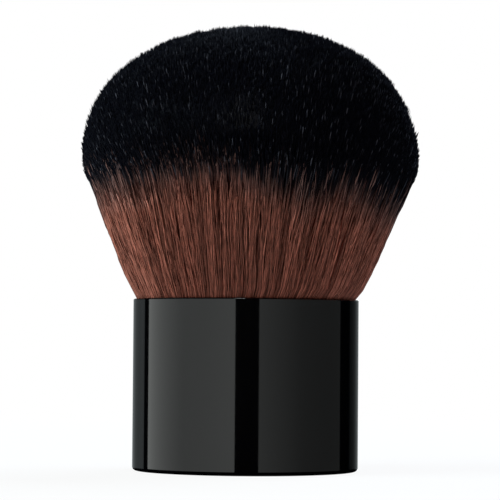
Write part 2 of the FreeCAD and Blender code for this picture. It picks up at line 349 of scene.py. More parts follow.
def set_shader(shader, **values):
    """Constant numbers on a shader's own sockets."""
    for name, value in values.items():
        shader.inputs[name.replace("_", " ")].default_value = value


def noise(tree, scale, detail, vector=None):
    """The value of a noise texture, in object space unless a vector is given."""
    vector = vector or tree.nodes.new("ShaderNodeTexCoord").outputs["Object"]
    return add_node(tree, "ShaderNodeTexNoise", Vector=vector, Scale=scale, Detail=detail).outputs["Fac"]


def wave_texture(tree, scale, distortion, detail):
    """A wave texture in object space."""
    place = tree.nodes.new("ShaderNodeTexCoord").outputs["Object"]
    return add_node(
        tree, "ShaderNodeTexWave", Vector=place, Scale=scale, Distortion=distortion, Detail=detail
    )


def add_bump(tree, shader, height, strength, distance):
    """Bump from a height socket."""
    bump = add_node(tree, "ShaderNodeBump", Height=height, Strength=strength, Distance=distance)
    tree.links.new(bump.outputs["Normal"], shader.inputs["Normal"])


# The fibres' material


def strand_draws(tree, rank):
    """A strand's map column and two random numbers of its own."""
    column = maths(tree, "FLOOR", maths(tree, "MULTIPLY", rank, COLUMNS))
    dice = tree.nodes.new("ShaderNodeTexWhiteNoise")
    dice.noise_dimensions = "1D"
    tree.links.new(column, dice.inputs["W"])
    draws = add_node(tree, "ShaderNodeSeparateColor", Color=dice.outputs["Color"])
    return column, draws.outputs["Red"], draws.outputs["Blue"]


def strand_tone(tree, column, height, draw):
    """How light a strand is, with streaks along it."""
    along = add_node(
        tree,
        "ShaderNodeCombineXYZ",
        X=maths(tree, "MULTIPLY", column, STREAK_ACROSS),
        Y=maths(tree, "MULTIPLY", height, STREAK_ALONG),
    )
    streak = noise(tree, scale=1.0, detail=2.0, vector=along.outputs["Vector"])
    own = remap(tree, draw, 0, 1, *TONES)
    return maths(tree, "MULTIPLY", own, remap(tree, streak, *NOISE_SPAN, *TONES))


def brown_colour(tree, rank, height, tone):
    """Brown by rank, from deep brown as painted shade to pale brown as partly painted highlight, calmer at
    the rim and greyer towards the dye, where pale strands carry painted sheen, times the strand's tone.
    """
    rim = (RIM_Z - MAP_LOW) / MAP_SPAN
    calm = remap(tree, height, rim, rim + CALM_HEIGHT / MAP_SPAN, CALM_SHARE, 0)
    calmed = maths(tree, "MULTIPLY_ADD", maths(tree, "SUBTRACT", CALM_RANK, rank), calm, rank)
    brown = mix_colours(tree, calmed, DEEP_TONE_AND_SHADE_BROWN, PALE_TONE_AND_HIGHLIGHT_BROWN)
    grey_low = DYE_ROW - GREY_BELOW / MAP_SPAN
    grey_high = DYE_ROW + GREY_ABOVE / MAP_SPAN
    greyed = remap(tree, height, grey_low, grey_high, 0, GREY_SHARE, "SMOOTHSTEP")
    # Towards the dye pale strands grey: partly the dye's fade, partly painted sheen
    fade_and_sheen = mix_colours(tree, maths(tree, "POWER", rank, PALE_FADE_AND_SHEEN_POWER), DARK_FADE, PALE_FADE_AND_SHEEN)
    scaled = tree.nodes.new("ShaderNodeVectorMath")
    scaled.operation = "SCALE"
    tree.links.new(mix_colours(tree, greyed, brown, fade_and_sheen), scaled.inputs[0])
    tree.links.new(tone, scaled.inputs["Scale"])
    return scaled.outputs[0]


def dyed_share(tree, rank, height, draw):
    """How far a strand is dyed: it begins at a height of its own, and a few pale strands late."""
    late = maths(tree, "MULTIPLY", maths(tree, "POWER", draw, LATE_POWER), rank)
    late = maths(tree, "MULTIPLY", late, LATE_DYE / MAP_SPAN)
    start = remap(tree, draw, 0, 1, DYE_ROW, DYE_ROW + DYE_SPREAD / MAP_SPAN)
    above = maths(tree, "SUBTRACT", height, maths(tree, "ADD", start, late))
    return remap(tree, above, -FADE_BELOW / MAP_SPAN, FADE_ABOVE / MAP_SPAN, 0, 1, "SMOOTHSTEP")


def fibre_material():
    """Synthetic fibre, brown below and dip-dyed black above, each strand with a tone of its own, and painted
    light: shade on deep and gap strands, highlight and sheen on pale ones, glints on a few black tips.
    """
    material, tree, shader = new_material("fibre")
    places = tree.nodes.new("ShaderNodeUVMap")
    places.uv_map = UV_NAME
    split = add_node(tree, "ShaderNodeSeparateXYZ", Vector=places.outputs["UV"])
    rank, height = split.outputs["X"], split.outputs["Y"]
    column, tone_draw, dye_draw = strand_draws(tree, rank)
    brown = brown_colour(tree, rank, height, strand_tone(tree, column, height, tone_draw))
    # A few black strands carry pale tips, painted glints
    black = mix_colours(tree, maths(tree, "POWER", rank, PAINTED_TIP_GLINT_POWER), DYED_BLACK, PAINTED_TIP_GLINT)
    dyed = dyed_share(tree, rank, height, dye_draw)
    faded = mix_colours(tree, remap(tree, dyed, 0, FADE_BROWN_END, 0, 1), brown, FADED_BROWN)
    colour = mix_colours(tree, remap(tree, dyed, FADE_BLACK_START, 1, 0, 1), faded, black)
    tree.links.new(colour, shader.inputs["Base Color"])
    set_shader(shader, Roughness=FIBRE_ROUGHNESS, Specular_IOR_Level=FIBRE_SPECULAR)
    return material


# The other materials


def lacquer_material():
    """Black gloss lacquer over drawn metal."""
    material, tree, shader = new_material("barrel_lacquer")
    speck = noise(tree, scale=900.0, detail=2.0)
    tree.links.new(remap(tree, speck, *NOISE_SPAN, *LACQUER_ROUGHNESS), shader.inputs["Roughness"])
    tint = mix_colours(tree, noise(tree, scale=120.0, detail=3.0), *LACQUER)
    tree.links.new(tint, shader.inputs["Base Color"])
    ripple = noise(tree, scale=700.0, detail=1.0)
    add_bump(tree, shader, ripple, strength=0.02, distance=0.02 * MM)
    set_shader(shader, IOR=COATING_IOR)
    return material


def moulded_material(name, low, high, roughness):
    """Moulded plastic with a fine spark-eroded grain."""
    material, tree, shader = new_material(name)
    tint = mix_colours(tree, noise(tree, scale=160.0, detail=4.0), low, high)
    tree.links.new(tint, shader.inputs["Base Color"])
    grain = noise(tree, scale=2600.0, detail=2.0)
    smoother = roughness - PLASTIC_ROUGHNESS_SPREAD
    rougher = roughness + PLASTIC_ROUGHNESS_SPREAD
    tree.links.new(remap(tree, grain, *NOISE_SPAN, smoother, rougher), shader.inputs["Roughness"])
    add_bump(tree, shader, grain, strength=0.25, distance=0.03 * MM)
    return material


def turned_metal_material(name, low, high, roughness, rings):
    """Bare metal with the fine rings of turning or drawing about the brush's axis."""
    material, tree, shader = new_material(name)
    wave = wave_texture(tree, scale=rings, distortion=0.6, detail=3.0)
    wave.wave_type = "RINGS"
    wave.rings_direction = "Z"
    mark = wave.outputs["Fac"]
    tree.links.new(mix_colours(tree, mark, low, high), shader.inputs["Base Color"])
    smoother = roughness - METAL_ROUGHNESS_SPREAD
    rougher = roughness + METAL_ROUGHNESS_SPREAD
    tree.links.new(remap(tree, mark, 0, 1, smoother, rougher), shader.inputs["Roughness"])
    add_bump(tree, shader, mark, strength=0.15, distance=0.02 * MM)
    set_shader(shader, Metallic=1.0)
    return material


def resin_material():
    """Set amber resin with faint clouds."""
    material, tree, shader = new_material("set_resin")
    cloud = noise(tree, scale=220.0, detail=5.0)
    tree.links.new(mix_colours(tree, cloud, *RESIN), shader.inputs["Base Color"])
    tree.links.new(remap(tree, cloud, *NOISE_SPAN, *RESIN_ROUGHNESS), shader.inputs["Roughness"])
    set_shader(shader, IOR=COATING_IOR)
    return material


def thread_material():
    """Turns of pale thread round the roots."""
    material, tree, shader = new_material("binding_thread")
    turns = wave_texture(tree, scale=THREAD_TURNS, distortion=0.4, detail=2.0)
    turns.bands_direction = "Z"
    mark = turns.outputs["Fac"]
    tree.links.new(mix_colours(tree, mark, *THREAD), shader.inputs["Base Color"])
    add_bump(tree, shader, mark, strength=0.8, distance=0.15 * MM)
    set_shader(shader, Roughness=0.8)
    return material


def dress_cad_nodes():
    """Each CAD node that stays gets its finish."""
    finishes = {
        "barrel_shell": lacquer_material(),
        "base_disc": moulded_material("base_plastic", *BASE_PLASTIC),
        "weight_slug": turned_metal_material("weight_steel", *WEIGHT_STEEL),
        "inner_liner": moulded_material("liner_plastic", *LINER_PLASTIC),
        "knot_cup": turned_metal_material("cup_aluminium", *CUP_ALUMINIUM),
        "resin_plug": resin_material(),
        "root_binding": thread_material(),
    }
    for name, material in finishes.items():
        mesh = NODES[name].data
        mesh.materials.clear()
        mesh.materials.append(material)


# The head's outline, read from the CAD nodes

RIM_SLACK = 0.01 * MM
MOUTH_SLACK = 0.02 * MM
STRAIGHT_SHARE = 0.998


def head_points():
    """Radius and height of every vertex of the head above the rim."""
    places = []
    for name in HEAD_NODES:
        mesh = NODES[name].data
        co = np.empty(len(mesh.vertices) * 3, np.float32)
        mesh.vertices.foreach_get("co", co)
        places.append(co.reshape(-1, 3).astype(float))
    places = np.concatenate(places)
    radius = np.hypot(places[:, 0], places[:, 1])
    above = places[:, 2] > RIM_Z - RIM_SLACK
    return radius[above], places[above, 2]


def head_outline():
    """The convex outer outline from the mouth to the apex, as rows of radius and height."""
    radius, height = head_points()
    chain = []
    for i in np.lexsort((radius, height)):
        point = np.array((radius[i], height[i]))
        while len(chain) > 1:
            a, b = chain[-1] - chain[-2], point - chain[-1]
            if a[0] * b[1] - a[1] * b[0] > 0:
                break
            chain.pop()
        chain.append(point)
    chain = np.array(chain)
    low = chain[:, 1] < RIM_Z + MOUTH_SLACK
    return chain[np.argmax(np.where(low, chain[:, 0], 0)):]


# The flank is the outline's straight stretch from the mouth, and the fibres fan out from its focus
OUTLINE = head_outline()
MOUTH_RADIUS, MOUTH_Z = OUTLINE[0]
STEEP = (OUTLINE[1:, 0] - MOUTH_RADIUS) / (OUTLINE[1:, 1] - MOUTH_Z)
FLANK_SLOPE = STEEP.max()
FLANK_END = 1 + int(np.nonzero(STEEP > STRAIGHT_SHARE * FLANK_SLOPE)[0].max())
FOCUS_Z = MOUTH_Z - MOUTH_RADIUS / FLANK_SLOPE
FLANK_ANGLE = math.atan(FLANK_SLOPE)
DOME = OUTLINE[FLANK_END:][::-1]
DOME_ANGLES = np.arctan2(DOME[:, 0], DOME[:, 1] - FOCUS_Z)
DOME_REACH = np.hypot(DOME[:, 0], DOME[:, 1] - FOCUS_Z)


def reach_at(angle):
    """Distance from the focus to the tips at an angle from the axis, a little inside the shoulder."""
    inset = SHOULDER_INSET * smooth((angle / FLANK_ANGLE - INSET_START) / INSET_BAND)
    return np.interp(angle, DOME_ANGLES, DOME_REACH) - inset


def outline_radius(height):
    """The outline's radius at a height."""
    return np.interp(height, OUTLINE[:, 1], OUTLINE[:, 0])


def settle_head(places):
    """The head stands a little to one side, and its dome isn't quite even, as in the photo."""
    moved = places.copy()
    moved[..., 0] += np.interp(places[..., 2], LEAN_Z, LEAN_X)
    out = unit(places - HEAD_CENTRE + NUDGE)
    for middle, width, height in DOME_BUMPS:
        away = np.linalg.norm(places - np.array(middle) * MM, axis=-1, keepdims=True) / (width * MM)
        moved += out * height * MM * np.exp(-(away**2))
    return moved


def map_height(places):
    """A place's height in the map, where the uneven dye line is level."""
    azimuth = np.degrees(np.arctan2(places[..., 0], -places[..., 1]))
    rise = np.zeros(azimuth.shape)
    for middle, width, height in DYE_BUMPS:
        away = (azimuth - middle + 180) % 360 - 180
        rise += height * MM * np.exp(-((away / width) ** 2))
    return (places[..., 2] + DYE_TILT * places[..., 0] - rise - MAP_LOW) / MAP_SPAN


# Meshes


def link_mesh(name, vertices, faces, sides, uv=None, material=None, flat=None):
    """A mesh object: faces lists the corners, sides how many each face has, flat the faces shaded flat."""
    mesh = bpy.data.meshes.new(name)
    mesh.vertices.add(len(vertices))
    mesh.vertices.foreach_set("co", np.ascontiguousarray(vertices, np.float32).ravel())
    mesh.loops.add(len(faces))
    mesh.loops.foreach_set("vertex_index", np.ascontiguousarray(faces, np.int32))
    mesh.polygons.add(len(sides))
    starts = np.concatenate(([0], np.cumsum(sides)[:-1]))
    mesh.polygons.foreach_set("loop_start", starts.astype(np.int32))
    mesh.update(calc_edges=True)
    if uv is not None:
        layer = mesh.uv_layers.new(name=UV_NAME)
        layer.uv.foreach_set("vector", np.ascontiguousarray(uv, np.float32).ravel())
    if flat is not None:
        mesh.polygons.foreach_set("use_smooth", ~flat)
    mesh.validate()
    if material:
        mesh.materials.append(material)
    thing = bpy.data.objects.new(name, mesh)
    bpy.context.scene.collection.objects.link(thing)
    return thing


def link_quads(name, vertices, loops, material):
    """A mesh object of four-sided faces."""
    return link_mesh(name, vertices, np.array(loops), np.full(len(loops) // 4, 4), None, material)


def tube_corners(rings, pointed):
    """Corners of one closed three-sided tube as (vertex, turn) pairs, the flat caps last."""
    quads = []
    for ring in range(rings - 1):
        for side in range(3):
            near, far = ring * 3 + side, ring * 3 + (side + 1) % 3
            quads.append([(near, side), (far, side + 1), (far + 3, side + 1), (near + 3, side)])
    last = (rings - 1) * 3
    caps, cone = [[(2, 2), (1, 1), (0, 0)]], []
    if pointed:
        for side in range(3):
            far = last + (side + 1) % 3
            cone.append([(last + side, side), (far, side + 1), (last + 3, side + 0.5)])
    else:
        caps.append([(last, 0), (last + 1, 1), (last + 2, 2)])
    return [np.array(group) for group in (quads, cone, caps) if group]


def tube_rings(paths, radii):
    """Rings of three vertices round every point of paths of shape (fibres, points, 3)."""
    along = unit(np.gradient(paths, axis=1))
    out = paths * np.array((1, 1, 0)) + AXIS_NUDGE
    side = unit(np.cross(along, out))
    up = np.cross(side, along)
    turns = TURN * np.arange(3)[:, None] / 3
    around = np.cos(turns) * up[:, :, None] + np.sin(turns) * side[:, :, None]
    return paths[:, :, None] + around * radii[:, :, None, None]


def make_tubes(name, rings, tips, columns, material, lift=0.0):
    """Fibres as one mesh of closed tubes that end in tips, each in a map column and raised there by lift."""
    count, ring_count = rings.shape[:2]
    vertices = rings.reshape(count, ring_count * 3, 3)
    if tips is not None:
        vertices = np.concatenate((vertices, tips[:, None]), axis=1)
    each = vertices.shape[1]
    heights = map_height(vertices) + lift / MAP_SPAN
    vertices = settle_head(vertices)
    loops, sides, maps, flat = [], [], [], []
    groups = tube_corners(ring_count, tips is not None)
    for corners in groups:
        index = corners[:, :, 0].astype(int)
        across = (columns[:, None, None] + COLUMN_START + corners[None, :, :, 1] / COLUMN_PARTS) / COLUMNS
        rise = heights[:, index] + CORNER_RISES[: index.shape[1]]
        loops.append((index[None] + each * np.arange(count)[:, None, None]).reshape(-1))
        sides.append(np.full(count * len(index), index.shape[1]))
        maps.append(np.stack((across, rise), axis=-1).reshape(-1, 2))
        flat.append(np.full(count * len(index), corners is groups[-1]))
    return link_mesh(
        name,
        vertices.reshape(-1, 3),
        np.concatenate(loops),
        np.concatenate(sides),
        np.concatenate(maps),
        material,
        np.concatenate(flat),
    )


def circle(sides):
    """Points of a circle of radius 1."""
    turns = np.arange(sides) * TURN / sides
    return np.column_stack((np.cos(turns), np.sin(turns)))


def make_lathe(name, profile, steps, material):
    """A closed turned body from rows of radius and height, poles at both ends, with the fibres' map."""
    rows = np.array(profile)
    inner = rows[1:-1]
    ring = circle(steps)
    body = np.concatenate([np.column_stack((ring * r, np.full(steps, z))) for r, z in inner])
    vertices = np.concatenate((body, [(0, 0, rows[0][1]), (0, 0, rows[-1][1])]))
    heights = map_height(vertices)
    loops, sides, maps = [], [], []

    def add_face(corners):
        loops.extend(v for v, _ in corners)
        sides.append(len(corners))
        maps.extend((share, heights[v]) for v, share in corners)

    bottom_pole, top_pole = len(body), len(body) + 1
    top = (len(inner) - 1) * steps
    # The core takes the deepest ranks, as painted shade
    left, right = CORE_SHADE_RANKS
    middle = (left + right) / 2
    for step in range(steps):
        after = (step + 1) % steps
        add_face([(bottom_pole, middle), (after, right), (step, left)])
        add_face([(top + step, left), (top + after, right), (top_pole, middle)])
        for row in range(len(inner) - 1):
            low, high = row * steps, (row + 1) * steps
            add_face([(low + step, left), (low + after, right), (high + after, right), (high + step, left)])
    vertices = settle_head(vertices)
    return link_mesh(name, vertices, np.array(loops), np.array(sides), np.array(maps), material)


# The head


def angle_between(a, b):
    """The signed angle from b to a, within half a turn."""
    return np.angle(np.exp(1j * (a - b)))


def clumped(rng):
    """Each flank fibre's azimuth, the clump that it leans towards, and the angle to it."""
    azimuth = TURN * (np.arange(FLANK_COUNT) + rng.random(FLANK_COUNT)) / FLANK_COUNT
    centres = TURN * (np.arange(CLUMPS) + CLUMP_JITTER * rng.random(CLUMPS)) / CLUMPS
    after = np.searchsorted(centres, azimuth) % CLUMPS
    before = (after - 1) % CLUMPS
    gap_after = np.abs(angle_between(centres[after], azimuth))
    gap_before = np.abs(angle_between(centres[before], azimuth))
    clump = np.where(gap_before < gap_after, before, after)
    return azimuth, clump, angle_between(centres[clump], azimuth)


def draw_flank(rng):
    """Everything that varies from one flank fibre to the next."""
    count = FLANK_COUNT
    azimuth, clump, pull = clumped(rng)
    gap = ((rng.random(CLUMPS) < GAP_SHARE) & (np.arange(CLUMPS) % 2 == 1))[clump]
    top = (rng.random(count) < TOP_SHARE) & (~gap | (rng.random(count) < STRAY_SHARE))
    depth = np.where(top, TOP_DEPTH * rng.random(count), rng.random(count) ** DEPTH_POWER)
    angle = FLANK_ANGLE * (1 - FLANK_DEPTH * depth)
    ends = FOCUS_Z + reach_at(angle) * np.cos(angle) + TIP_JITTER * rng.standard_normal(count)
    drift = CLUMP_DRIFT * rng.standard_normal(CLUMPS)[clump] + OWN_DRIFT * rng.standard_normal(count)
    stray = rng.random(count) < STRAY_SHARE
    drift = drift + stray * STRAY_DRIFT * rng.standard_normal(count)
    uneven = np.abs(1 + SINK_SPREAD * rng.standard_normal(CLUMPS))[clump]
    wave = WAVE * rng.standard_normal((count, 1))
    fine = FINE_WAVE * rng.standard_normal((count, 1))
    bob = BOB * rng.standard_normal((count, 1))
    fuzz = EDGE_FUZZ * np.abs(rng.standard_normal((count, 1))) * (rng.random((count, 1)) < FUZZ_SHARE)
    phase = rng.random((count, 3))
    # Rank falls with depth and is lowest in the gaps, as painted shade; top fibres get pale ranks, as
    # painted highlight
    rank = np.where(gap, GAP_SHADE_RANK, OUTER_RANK - DEPTH_SHADE_RANK_LOSS * depth)
    rank = np.clip(rank + RANK_SPREAD * rng.standard_normal(count), LEAST_RANK, MOST_RANK)
    rank = np.where(top, TOP_HIGHLIGHT_RANK + TOP_HIGHLIGHT_RANK_SPAN * rng.random(count), rank)
    split = rng.uniform(SPLIT_LOW, SPLIT_HIGH, count)
    girth = (GIRTH_LOW + GIRTH_SPAN * rng.random(count)) * np.where(top, TOP_GIRTH, 1.0)
    return SimpleNamespace(
        azimuth=azimuth,
        pull=pull * (CLUMP_PULL + (DEEP_PULL - CLUMP_PULL) * depth),
        angle=angle,
        ends=ends,
        drift=drift,
        sink=(CLUMP_SINK + (GAP_SINK - CLUMP_SINK) * gap) * uneven * ~top,
        wave=wave,
        fine=fine,
        bob=bob,
        fuzz=fuzz,
        phase=phase,
        columns=(COLUMNS * rank).astype(int),
        split=split,
        radius=FLANK_RADIUS * girth,
    )


def flank_heights(fibres):
    """Heights of the rings of every flank fibre, from its foot in the barrel to its tip."""
    split = fibres.split[:, None]
    held = np.broadcast_to(RIM_Z + np.array(HELD_STEPS), (FLANK_COUNT, len(HELD_STEPS)))
    free = RIM_Z + FREE_START + (split - RIM_Z - FREE_START) * np.linspace(0, 1, FREE_RINGS)
    tail = split + (fibres.ends[:, None] - split) * np.array(TAIL_SHARES)
    return np.concatenate((held, free, tail), axis=1)


def flank_places(fibres, height):
    """The flank fibres' points at their rings' heights."""
    free = height - RIM_Z
    share = np.clip(free / (fibres.ends - RIM_Z)[:, None], 0, 1)
    grown = smooth(WAVE_GROWTH * share)
    bulge = MOUTH_BULGE * smooth(free / BULGE_RISE) * (1 - smooth(free / BULGE_END))
    radius = (height - FOCUS_Z) * np.tan(fibres.angle)[:, None] + bulge - fibres.sink[:, None] * grown
    radius = radius + np.sin(TURN * (BOB_CYCLES * share + fibres.phase[:, :1])) * fibres.bob * grown
    edge = outline_radius(np.maximum(height, RIM_Z)) + bulge - EDGE_INSET
    radius = np.minimum(radius, edge + fibres.fuzz * grown)
    sway = np.sin(TURN * (WAVE_CYCLES * share + fibres.phase[:, 1:2])) * fibres.wave
    sway = sway + np.sin(TURN * (FINE_CYCLES * share + fibres.phase[:, 2:])) * fibres.fine
    turn = fibres.azimuth[:, None] + fibres.pull[:, None] * smooth(PULL_PACE * share)
    turn = turn + fibres.drift[:, None] * share + sway * grown / radius
    return np.stack((radius * np.cos(turn), radius * np.sin(turn), height), axis=-1)


def quarters(azimuth):
    """For each quarter of the head, its number and the fibres that stand in it."""
    quarter = (azimuth // (TURN / 4)).astype(int) % 4
    return [(q + 1, quarter == q) for q in range(4)]


def make_flank(material):
    """The outer fibres of the head, from inside the barrel's mouth to their black tips."""
    fibres = draw_flank(np.random.default_rng(SEED))
    paths = flank_places(fibres, flank_heights(fibres))
    rings = tube_rings(paths, fibres.radius[:, None] * np.array([[1] * LOWER_RINGS + [*TAIL_GIRTHS]]))
    lowers, uppers = [], []
    for number, chosen in quarters(fibres.azimuth):
        columns, tips = fibres.columns[chosen], paths[chosen, -1]
        lower = rings[chosen, :LOWER_RINGS]
        upper = rings[chosen, LOWER_RINGS - 1:-1]
        lowers.append(make_tubes(f"flank_lower_{number}", lower, None, columns, material))
        uppers.append(make_tubes(f"flank_upper_{number}", upper, tips, columns, material))
    return lowers, uppers


def dome_tips(rng):
    """Angle from the axis and azimuth of fibre tips spread evenly over the dome."""
    steps = np.diff(DOME, axis=0)
    rings = np.hypot(steps[:, 0], steps[:, 1]) * (DOME[1:, 0] + DOME[:-1, 0]) / 2
    area = np.concatenate(([0], np.cumsum(rings)))
    picked = (np.arange(DOME_COUNT) + rng.random(DOME_COUNT)) / DOME_COUNT * area[-1]
    radius = np.interp(picked, area, DOME[:, 0])
    height = np.interp(picked, area, DOME[:, 1])
    golden = math.pi * (3 - math.sqrt(5))
    jitter = PLACE_JITTER * rng.standard_normal(DOME_COUNT) / np.maximum(radius, JITTER_LEAST_RADIUS)
    azimuth = golden * np.arange(DOME_COUNT) + jitter
    return np.arctan2(radius, height - FOCUS_Z), np.mod(azimuth, TURN)


def tufts(places, rng):
    """Small rises and hollows where neighbouring tips stand together."""
    rise = np.zeros(len(places))
    for _ in range(TUFT_WAVES):
        way = unit(rng.standard_normal(3)) * TURN / (rng.uniform(*TUFT_WIDTHS_MM) * MM)
        rise += np.sin(places @ way + rng.uniform(0, TURN))
    return TUFT_HEIGHT * rise / math.sqrt(TUFT_WAVES / 2)


def dome_paths(rng, angle, azimuth):
    """The dome fibres' points, from their feet to their tips."""
    outwards = np.stack((np.cos(azimuth), np.sin(azimuth), np.zeros(DOME_COUNT)), axis=-1)
    ray = outwards * np.sin(angle)[:, None]
    ray[:, 2] = np.cos(angle)
    reach = reach_at(angle) + TIP_JITTER * rng.standard_normal(DOME_COUNT)
    reach = reach + tufts(ray * reach[:, None], rng)
    steps = np.array(DOME_STEPS)
    shoulder = smooth((angle / FLANK_ANGLE - SHOULDER_START) / SHOULDER_BAND)[:, None]
    length = DOME_LENGTH + (SHOULDER_LENGTH - DOME_LENGTH) * shoulder
    paths = np.array((0, 0, FOCUS_Z)) + ray[:, None] * (reach[:, None] - length * steps)[:, :, None]
    paths = paths - outwards[:, None] * (SHOULDER_TUCK * shoulder * steps)[:, :, None]
    spread = TIP_SPREAD * (1 - SHOULDER_CALM * shoulder) * rng.standard_normal((DOME_COUNT, 3))
    spread = spread - ray * (spread * ray).sum(axis=1, keepdims=True)
    return paths + spread[:, None] * ((1 - steps) ** SPREAD_POWER)[None, :, None]


def make_dome(material):
    """The dyed tips over the dome, in four quarters."""
    rng = np.random.default_rng(SEED + 1)
    angle, azimuth = dome_tips(rng)
    paths = dome_paths(rng, angle, azimuth)
    girth = DOME_RADIUS * (GIRTH_LOW + GIRTH_SPAN * rng.random(DOME_COUNT))[:, None]
    rings = tube_rings(paths, girth * np.array([DOME_GIRTHS]))
    columns = rng.integers(0, COLUMNS, DOME_COUNT)
    made = []
    for number, chosen in quarters(azimuth):
        name = f"dome_tips_{number}"
        tips = paths[chosen, -1]
        made.append(make_tubes(name, rings[chosen, :-1], tips, columns[chosen], material, DOME_DYE_LIFT))
    return made


def make_core(material):
    """The bundle's inside, coloured at the deepest ranks as painted shade and seen only as dark gaps between
    the outer fibres: a lower and an upper piece.
    """
    slope = math.tan(FLANK_ANGLE * CORE_SHARE)
    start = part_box("bristle_roots")[0].z + ROOT_GAP
    lower = [(0, start), (ROOT_RADIUS, start), (ROOT_RADIUS, CUP_TOP)]
    for height in np.linspace(RIM_Z, CORE_SPLIT, CORE_FLANK_ROWS):
        lower.append(((height - FOCUS_Z) * slope, height))
    lower.append((0, CORE_SPLIT))
    upper = [(0, CORE_SPLIT), ((CORE_SPLIT - FOCUS_Z) * slope, CORE_SPLIT)]
    for angle in np.linspace(FLANK_ANGLE * CORE_SHARE, 0, CORE_DOME_ROWS):
        reach = reach_at(angle) - CORE_BELOW_TIPS
        upper.append((reach * math.sin(angle), FOCUS_Z + reach * math.cos(angle)))
    core_lower = make_lathe("core_lower", lower, CORE_SIDES, material)
    core_upper = make_lathe("core_upper", upper, CORE_SIDES, material)
    return core_lower, core_upper


def make_head():
    """Fibres and core, their transforms applied, in place of the CAD head's nodes, which are hidden."""
    material = fibre_material()
    lowers, uppers = make_flank(material)
    core_lower, core_upper = make_core(material)
    dome = make_dome(material)
    for piece in (*lowers, core_lower):
        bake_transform(piece)
    for piece in (*uppers, core_upper, *dome):
        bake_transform(piece)
    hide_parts("bristle_roots")
    for piece in (*lowers, *uppers):
        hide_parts("bristle_belly")
    for piece in (core_upper, *dome):
        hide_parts("bristle_crown")


# Studio

# The surround is white to the camera, and AMBIENT is its strength as a light
SURROUND_COLOUR = (1, 1, 1, 1)
AMBIENT = 0.24

# The floor glows as background to the camera, a little less near the brush, where it keeps a shadow
FLOOR_RADIUS = 2.5
FLOOR_SIDES = 64
FLOOR_COLOUR = (0.8, 0.8, 0.8, 1)
FLOOR_GLOW = 1.0
FLOOR_GLOW_SHARE = 0.88
SHADOW_NEAR = 0.06
SHADOW_FAR = 0.30

# Cards that show in the barrel's gloss: they lie on the floor from the barrel outwards, then stand up
CARD_START = 4 * MM
CARD_DISTANCE = 55 * MM
CARD_HEIGHT = 34 * MM
CARD_LIFT = 0.03 * MM
CARD_COLUMNS = 25
CARD_TINT = (0.96, 1.0, 0.98, 1)
SIDE_TINT = (0.88, 0.98, 1.0, 1)
# Where each card shows, as shares of the barrel's radius from the front, with its glow there
FRONT_CARDS = {
    "card_left": ((-0.840, 1.45), (-0.54, 0.88), (-0.088, 1.10)),
    "card_right": ((0.115, 0.58), (0.48, 0.26), (0.818, 0.13)),
}
SIDE_CARDS = {
    "card_far_left": (
        (-0.998, 0.30),
        (-0.98, 0.23),
        (-0.96, 0.15),
        (-0.93, 0.16),
        (-0.90, 0.23),
        (-0.879, 0.24),
    ),
    "card_far_right": (
        (0.905, 0.02),
        (0.935, 0.035),
        (0.955, 0.055),
        (0.972, 0.12),
        (0.985, 0.20),
        (0.997, 0.25),
    ),
}

# A small card high in front, which shows as a glint on the barrel's rim: sides in x and z
GLINT_X = (-18 * MM, 2 * MM)
GLINT_Z = (63 * MM, 130 * MM)
GLINT_Y = -77 * MM
GLINT_GLOW = 3.5

# A dark screen round and above the brush, as rows of radius and height
FLAG_SIDES = 48
FLAG_LIFT = 0.015 * MM
FLAG_INSET = 0.5 * MM
FLAG_HOLE = 0.001 * MM
FLAG_RADIUS = 95 * MM
FLAG_HEIGHT = 260 * MM
FLAG_ROWS = (
    (BARREL_RADIUS - FLAG_INSET, FLAG_LIFT),
    (FLAG_RADIUS, FLAG_LIFT),
    (FLAG_RADIUS, FLAG_HEIGHT),
    (FLAG_HOLE, FLAG_HEIGHT),
)

# Lamps: place, width, watts and colour
LAMPS = {
    "key": ((-0.54, -0.18, 0.26), 0.45, 4.9, (0.80, 0.98, 1.0)),
    "fill": ((-0.10, -0.62, 0.20), 0.5, 1.2, (1.0, 0.82, 0.68)),
    "back": ((0.26, 0.30, 0.46), 0.5, 4.0, (0.68, 0.82, 1.0)),
}
LAMP_AIM = (0, 0, 35 * MM)


def background_share(tree):
    """1 for the rays that see the background itself: camera, glossy and transmission rays."""
    path = tree.nodes.new("ShaderNodeLightPath").outputs
    seen = maths(tree, "ADD", path["Is Camera Ray"], path["Is Glossy Ray"])
    return maths(tree, "ADD", seen, path["Is Transmission Ray"], clamp=True)


def make_world():
    """A white surround, dimmer as a light."""
    world = bpy.data.worlds.new("studio")
    bpy.context.scene.world = world
    world.use_nodes = True
    tree = world.node_tree
    strength = maths(tree, "MULTIPLY_ADD", background_share(tree), 1 - AMBIENT, AMBIENT)
    background = tree.nodes["Background"]
    background.inputs["Color"].default_value = SURROUND_COLOUR
    tree.links.new(strength, background.inputs["Strength"])


